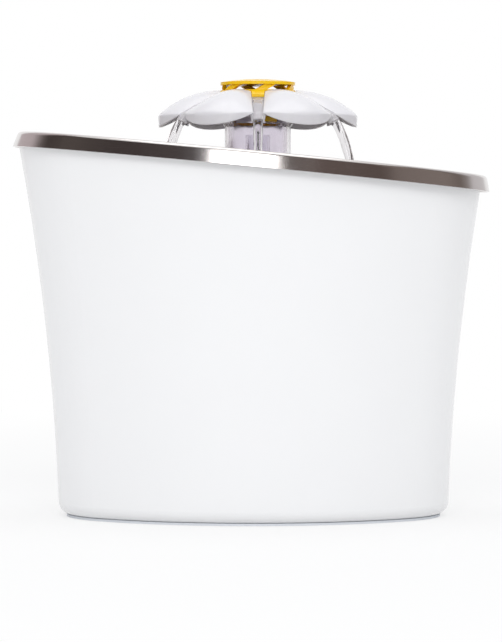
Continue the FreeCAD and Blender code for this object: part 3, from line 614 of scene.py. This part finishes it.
studio = {
    "floorSize": 14.0,
    "floorGap": 0.1 * mm,           # keeps the floor off the pad's own underside
    "floorShade": 0.31,             # part of the floor's white that takes shadow
    "floorGlow": 0.66,
    "floorBounce": 0.85,
    "fade": (0.3, 1.1),             # the floor turns to plain white from here to there
    "skyLight": 0.74,
    "skyTint": (0.97, 0.98, 1.0),
    "flagRadius": 3.0,
    "flagHeights": (-0.2, 4.0),
    "flagSteps": 72,
    # what the steel sees round the camera: degrees from the lens, colour
    "flagStops": ((-150, (0.62, 0.55, 0.56)), (-124, (0.6, 0.53, 0.54)), (-112, (0.16, 0.135, 0.13)),
                  (-104, (0.07, 0.056, 0.052)), (-84, (0.11, 0.092, 0.085)), (-62, (0.068, 0.055, 0.053)),
                  (-34, (0.085, 0.07, 0.068)), (-21, (0.07, 0.06, 0.062)), (-18.5, (0.3, 0.29, 0.3)),
                  (-17.5, (0.1, 0.095, 0.1)), (-15.5, (0.55, 0.54, 0.55)), (-12, (1.0, 1.0, 1.0)),
                  (9.5, (1.0, 1.0, 1.0)), (13.5, (0.3, 0.27, 0.26)), (17, (0.1, 0.08, 0.075)),
                  (31, (0.16, 0.125, 0.115)), (62, (0.13, 0.1, 0.09)), (66, (0.24, 0.2, 0.185)),
                  (92, (0.28, 0.235, 0.215)), (108, (0.2, 0.165, 0.15)), (118, (0.34, 0.31, 0.3)),
                  (126, (0.7, 0.68, 0.69)), (150, (0.72, 0.7, 0.71))),
}
lamps = {
    "key_box": {"place": (0.0, -2.6, 1.7), "target": (0, 0, 0.12), "size": (1.2, 1.0), "power": 24.0},
    "top_box": {"place": (0.0, 0.2, 2.4), "target": (0, 0, 0.1), "size": (1.8, 1.8), "power": 10.5},
}


# an emptied node tree of a material or world, with its output
def bareTree(holder, output):
    holder.use_nodes = True
    tree = holder.node_tree
    tree.nodes.clear()
    return tree, tree.nodes.new(output).inputs["Surface"]


def mixShaders(tree, factor, first, second):
    mix = tree.nodes.new("ShaderNodeMixShader")
    tree.links.new(factor, mix.inputs[0])
    tree.links.new(first, mix.inputs[1])
    tree.links.new(second, mix.inputs[2])
    return mix.outputs[0]


# 1 for camera, mirror and clear rays, which see the white studio
def isSeenRay(tree):
    light = tree.nodes.new("ShaderNodeLightPath")
    first = addNode(tree, "ShaderNodeMath", {"operation": "MAXIMUM"})
    second = addNode(tree, "ShaderNodeMath", {"operation": "MAXIMUM"})
    tree.links.new(light.outputs["Is Camera Ray"], first.inputs[0])
    tree.links.new(light.outputs["Is Glossy Ray"], first.inputs[1])
    tree.links.new(first.outputs[0], second.inputs[0])
    tree.links.new(light.outputs["Is Transmission Ray"], second.inputs[1])
    return second.outputs[0]


def buildFloor():
    mesh = bmesh.new()
    bmesh.ops.create_grid(mesh, x_segments=1, y_segments=1, size=studio["floorSize"] / 2)
    bmesh.ops.translate(mesh, verts=mesh.verts, vec=(0, 0, -studio["floorGap"]))
    material = bpy.data.materials.new("studioWhite")
    tree, surface = bareTree(material, "ShaderNodeOutputMaterial")
    # near the object the floor takes its shadow, further out it is plain white
    shade = addNode(tree, "ShaderNodeBsdfDiffuse", Color=rgba([studio["floorShade"]] * 3))
    glow = addNode(tree, "ShaderNodeEmission", Color=rgba((1, 1, 1)), Strength=studio["floorGlow"])
    near = tree.nodes.new("ShaderNodeAddShader")
    far = addNode(tree, "ShaderNodeEmission", Color=rgba((1, 1, 1)), Strength=1.0)
    bounce = addNode(tree, "ShaderNodeBsdfDiffuse", Color=rgba([studio["floorBounce"]] * 3))
    coords = tree.nodes.new("ShaderNodeTexCoord")
    reach = addNode(tree, "ShaderNodeVectorMath", {"operation": "LENGTH"})
    fade = addNode(tree, "ShaderNodeMapRange", {"interpolation_type": "SMOOTHSTEP"},
                   From_Min=studio["fade"][0], From_Max=studio["fade"][1])
    tree.links.new(coords.outputs["Object"], reach.inputs[0])
    tree.links.new(reach.outputs["Value"], fade.inputs["Value"])
    tree.links.new(shade.outputs[0], near.inputs[0])
    tree.links.new(glow.outputs[0], near.inputs[1])
    seen = mixShaders(tree, fade.outputs["Result"], near.outputs[0], far.outputs[0])
    tree.links.new(mixShaders(tree, isSeenRay(tree), bounce.outputs[0], seen), surface)
    floor = linkMesh("studio_floor", mesh, material)


def buildWorld():
    world = bpy.data.worlds.new("studioSky")
    bpy.context.scene.world = world
    tree, surface = bareTree(world, "ShaderNodeOutputWorld")
    soft = addNode(tree, "ShaderNodeBackground", Color=rgba(studio["skyTint"]), Strength=studio["skyLight"])
    plain = addNode(tree, "ShaderNodeBackground", Color=rgba((1, 1, 1)), Strength=1.0)
    tree.links.new(mixShaders(tree, isSeenRay(tree), soft.outputs[0], plain.outputs[0]), surface)


# the dark studio round the camera, seen only in the steel
def buildFlag():
    stops = studio["flagStops"]
    start, stop = stops[0][0], stops[-1][0]
    mesh = bmesh.new()
    ends = [mesh.verts.new((0, -studio["flagRadius"], height)) for height in studio["flagHeights"]]
    edge = mesh.edges.new(ends)
    bmesh.ops.rotate(mesh, verts=mesh.verts, cent=(0, 0, 0),
                     matrix=Matrix.Rotation(math.radians(start), 3, "Z"))
    bmesh.ops.spin(mesh, geom=ends + [edge], cent=(0, 0, 0), axis=(0, 0, 1),
                   angle=math.radians(stop - start), steps=studio["flagSteps"], use_merge=False)
    material = bpy.data.materials.new("studio_flagCloth")
    tree, surface = bareTree(material, "ShaderNodeOutputMaterial")
    # a quarter turn puts the seam of the round gradient behind the object
    coords = tree.nodes.new("ShaderNodeTexCoord")
    turn = addNode(tree, "ShaderNodeMapping", Rotation=(0, 0, math.radians(90)))
    angleShare = addNode(tree, "ShaderNodeTexGradient", {"gradient_type": "RADIAL"})
    ramp = tree.nodes.new("ShaderNodeValToRGB")
    while len(ramp.color_ramp.elements) < len(stops):
        ramp.color_ramp.elements.new(0.5)
    for element, (angle, colour) in zip(ramp.color_ramp.elements, stops):
        element.position = 0.5 + angle / 360
        element.color = rgba(colour)
    glow = addNode(tree, "ShaderNodeEmission", Strength=1.0)
    tree.links.new(coords.outputs["Object"], turn.inputs["Vector"])
    tree.links.new(turn.outputs["Vector"], angleShare.inputs["Vector"])
    tree.links.new(angleShare.outputs["Fac"], ramp.inputs["Fac"])
    tree.links.new(ramp.outputs["Color"], glow.inputs["Color"])
    tree.links.new(glow.outputs[0], surface)
    flag = linkMesh("studio_flag", mesh, material)
    flag.visible_camera = False
    flag.visible_diffuse = False
    flag.visible_shadow = False
    flag.visible_transmission = False


def buildLamp(name, lamp):
    data = bpy.data.lights.new(name, "AREA")
    data.shape = "RECTANGLE"
    data.size, data.size_y = lamp["size"]
    data.energy = lamp["power"]
    light = bpy.data.objects.new(name, data)
    bpy.context.scene.collection.objects.link(light)
    light.location = lamp["place"]
    aim = Vector(lamp["target"]) - Vector(lamp["place"])
    light.rotation_euler = aim.to_track_quat("-Z", "Y").to_euler()


buildFloor()
buildWorld()
buildFlag()
for lampName, lamp in lamps.items():
    buildLamp(lampName, lamp)
print("studio set")

view = {"x": -1.3 * mm, "distance": 1.85, "height": 150.1 * mm, "down": 1.482, "lens": 197.2, "sensor": 36.0}
cameraData = bpy.data.cameras.new("photo_camera")
cameraData.lens = view["lens"]
cameraData.sensor_fit = "VERTICAL"
cameraData.sensor_height = view["sensor"]
camera = bpy.data.objects.new("photo_camera", cameraData)
bpy.context.scene.collection.objects.link(camera)
camera.location = (view["x"], -view["distance"], view["height"])
camera.rotation_euler = (math.radians(90 - view["down"]), 0, 0)
bpy.context.scene.camera = camera
bpy.context.scene.view_settings.view_transform = "Standard"
